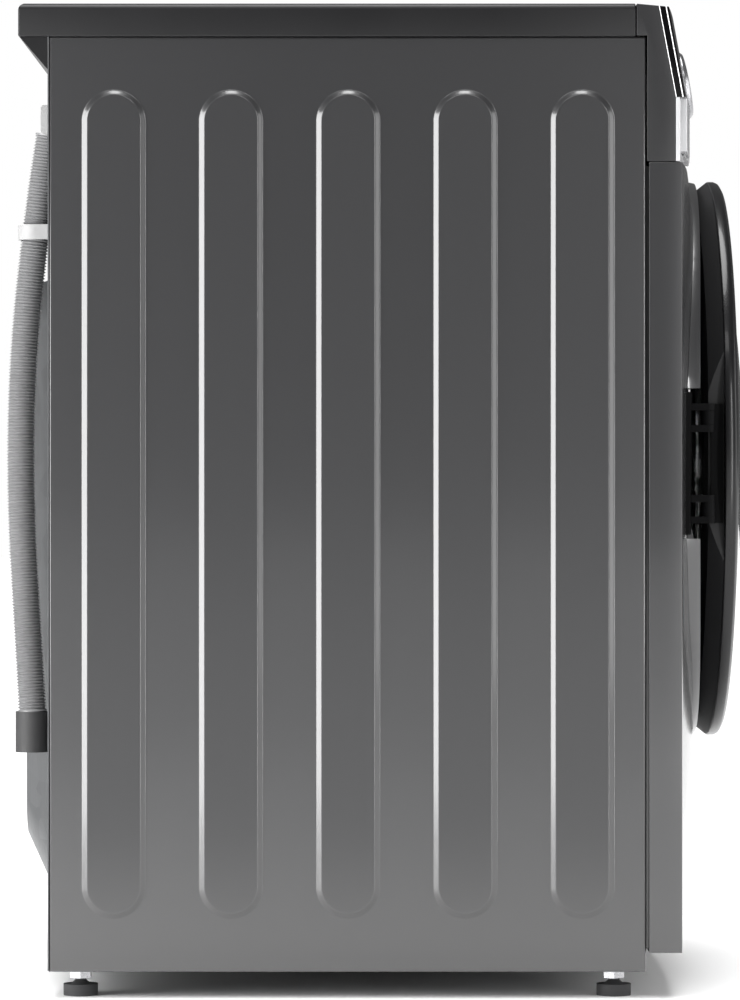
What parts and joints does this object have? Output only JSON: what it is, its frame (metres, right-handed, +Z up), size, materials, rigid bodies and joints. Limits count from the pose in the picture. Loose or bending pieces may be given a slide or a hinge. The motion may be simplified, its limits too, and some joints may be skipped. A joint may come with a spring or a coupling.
{
  "type": "washing machine",
  "caption": "Free-standing front-loading washing machine with a hinged round door, sprung controls, detergent drawer, direct-drive drum and rear drain hose.",
  "frame": {"origin": "on the floor, under the middle of the machine without its drain hose", "axes": "+Z up, -Y out of the front with the door, -X the side with the door hinges"},
  "size_m": [0.6, 0.6536, 0.85],
  "materials": {
    "cabinet_paint": "satin graphite paint",
    "flap_plastic": "satin",
    "zinc_sheet": "galvanised",
    "base_sheet": "satin",
    "top_plastic": "satin",
    "top_board": "laminated chipboard",
    "console_plastic": "satin",
    "black_gloss": "piano black",
    "bright_trim": "silvered plastic",
    "board_green": "circuit board",
    "knob_metal": "turned",
    "button_plastic": "gloss",
    "white_plastic": "satin",
    "black_plastic": "matt",
    "black_rubber": "matt",
    "hose_grey": "corrugated",
    "cuff_rubber": "matt",
    "tub_plastic": "moulded",
    "gasket_rubber": "matt",
    "steel": "plain",
    "copper": "wound copper on laminations",
    "weight_iron": "rough",
    "damper_metal": "phosphated",
    "stainless": "perforated, polished",
    "spider_alloy": "cast",
    "ring_gloss": "gloss graphite",
    "glass": "clear",
    "smoked_glass": "smoked",
    "hinge_metal": "black painted zinc",
    "foot_rubber": "matt"
  },
  "bodies": {
    "cabinet": {"base_pan": "base_sheet", "console_fascia": "black_gloss", "console_housing": "console_plastic", "console_trim": "bright_trim", "control_board": "board_green", "counterweights": "weight_iron", "crossbars": "zinc_sheet", "dampers": "damper_metal", "dispenser_housing": "white_plastic", "door_gasket": "gasket_rubber", "door_lock": "white_plastic", "door_surround": "cabinet_paint", "drain_hose": "hose_grey", "drum_bearings": "steel", "foot_nuts": "steel", "front_panel": "cabinet_paint", "heater": "steel", "hinge_bracket": "hinge_metal", "hose_cuff": "cuff_rubber", "hose_holder": "white_plastic", "hose_strap": "white_plastic", "inlet_valve": "white_plastic", "inner_hoses": "black_rubber", "power_gland": "black_plastic", "pump_housing": "white_plastic", "rear_cover": "zinc_sheet", "rear_panel": "zinc_sheet", "side_panel_left": "cabinet_paint", "side_panel_right": "cabinet_paint", "stator": "copper", "suspension_springs": "steel", "tub_front": "tub_plastic", "tub_rear": "tub_plastic", "worktop_board": "top_board", "worktop_spacers": "top_plastic", "worktop_surround": "top_plastic"},
    "door": {"door_ring": "ring_gloss", "door_frame": "black_plastic", "door_glass": "glass", "door_cover": "smoked_glass", "door_hinge_arm": "hinge_metal", "door_latch": "steel"},
    "drum_unit": {"drum": "stainless", "drum_lifters": "white_plastic", "drum_spider": "spider_alloy", "rotor": "zinc_sheet"},
    "program_knob": {"program_knob": "knob_metal"},
    "power_button": {"power_button": "button_plastic"},
    "option_button_1": {"option_button_1": "button_plastic"},
    "option_button_2": {"option_button_2": "button_plastic"},
    "start_button": {"start_button": "button_plastic"},
    "drawer": {"drawer_tray": "white_plastic", "drawer_front": "bright_trim"},
    "service_flap": {"service_flap": "flap_plastic"},
    "filter_cap": {"filter_cap": "black_plastic"},
    "pump_impeller": {"pump_impeller": "black_plastic"},
    "foot_rear_left": {"foot_rear_left": "foot_rubber"},
    "foot_rear_right": {"foot_rear_right": "foot_rubber"},
    "foot_front_left": {"foot_front_left": "foot_rubber"},
    "foot_front_right": {"foot_front_right": "foot_rubber"}
  },
  "joints": [
    {"name": "door_hinge", "type": "hinge", "parent": "cabinet", "child": "door", "pos_m": [-0.25, -0.27475, 0.4575], "axis": [0, 0, -1], "range_deg": [0, 125]},
    {"name": "drum_spin", "type": "hinge", "parent": "cabinet", "child": "drum_unit", "pos_m": [0, 0.22125, 0.464], "axis": [0, -1, 0], "continuous": true},
    {"name": "knob_turn", "type": "hinge", "parent": "cabinet", "child": "program_knob", "pos_m": [0, -0.26369, 0.805], "axis": [0, -0.9829, 0.1843], "continuous": true},
    {"name": "power_button_press", "type": "slide", "parent": "cabinet", "child": "power_button", "axis": [0, 0.9829, -0.1843], "range_m": [0, 0.001], "stiffness_N_per_m": 600, "springref_m": -0.0005},
    {"name": "option_button_1_press", "type": "slide", "parent": "cabinet", "child": "option_button_1", "axis": [0, 0.9829, -0.1843], "range_m": [0, 0.001], "stiffness_N_per_m": 600, "springref_m": -0.0005},
    {"name": "option_button_2_press", "type": "slide", "parent": "cabinet", "child": "option_button_2", "axis": [0, 0.9829, -0.1843], "range_m": [0, 0.001], "stiffness_N_per_m": 600, "springref_m": -0.0005},
    {"name": "start_button_press", "type": "slide", "parent": "cabinet", "child": "start_button", "axis": [0, 0.9829, -0.1843], "range_m": [0, 0.001], "stiffness_N_per_m": 600, "springref_m": -0.0005},
    {"name": "drawer_slide", "type": "slide", "parent": "cabinet", "child": "drawer", "axis": [0, -1, 0], "range_m": [0, 0.19]},
    {"name": "flap_hinge", "type": "hinge", "parent": "cabinet", "child": "service_flap", "pos_m": [0.215, -0.25985, 0.0548], "axis": [1, 0, 0], "range_deg": [0, 90]},
    {"name": "filter_turn", "type": "hinge", "parent": "cabinet", "child": "filter_cap", "pos_m": [0.215, -0.20875, 0.09], "axis": [0, -1, 0], "range_deg": [0, 360]},
    {"name": "impeller_spin", "type": "hinge", "parent": "cabinet", "child": "pump_impeller", "pos_m": [0.215, -0.12375, 0.09], "axis": [0, -1, 0], "continuous": true},
    {"name": "foot_rear_left_screw", "type": "slide", "parent": "cabinet", "child": "foot_rear_left", "axis": [0, 0, -1], "range_m": [0, 0.015]},
    {"name": "foot_rear_right_screw", "type": "slide", "parent": "cabinet", "child": "foot_rear_right", "axis": [0, 0, -1], "range_m": [0, 0.015]},
    {"name": "foot_front_left_screw", "type": "slide", "parent": "cabinet", "child": "foot_front_left", "axis": [0, 0, -1], "range_m": [0, 0.015]},
    {"name": "foot_front_right_screw", "type": "slide", "parent": "cabinet", "child": "foot_front_right", "axis": [0, 0, -1], "range_m": [0, 0.015]}
  ]
}
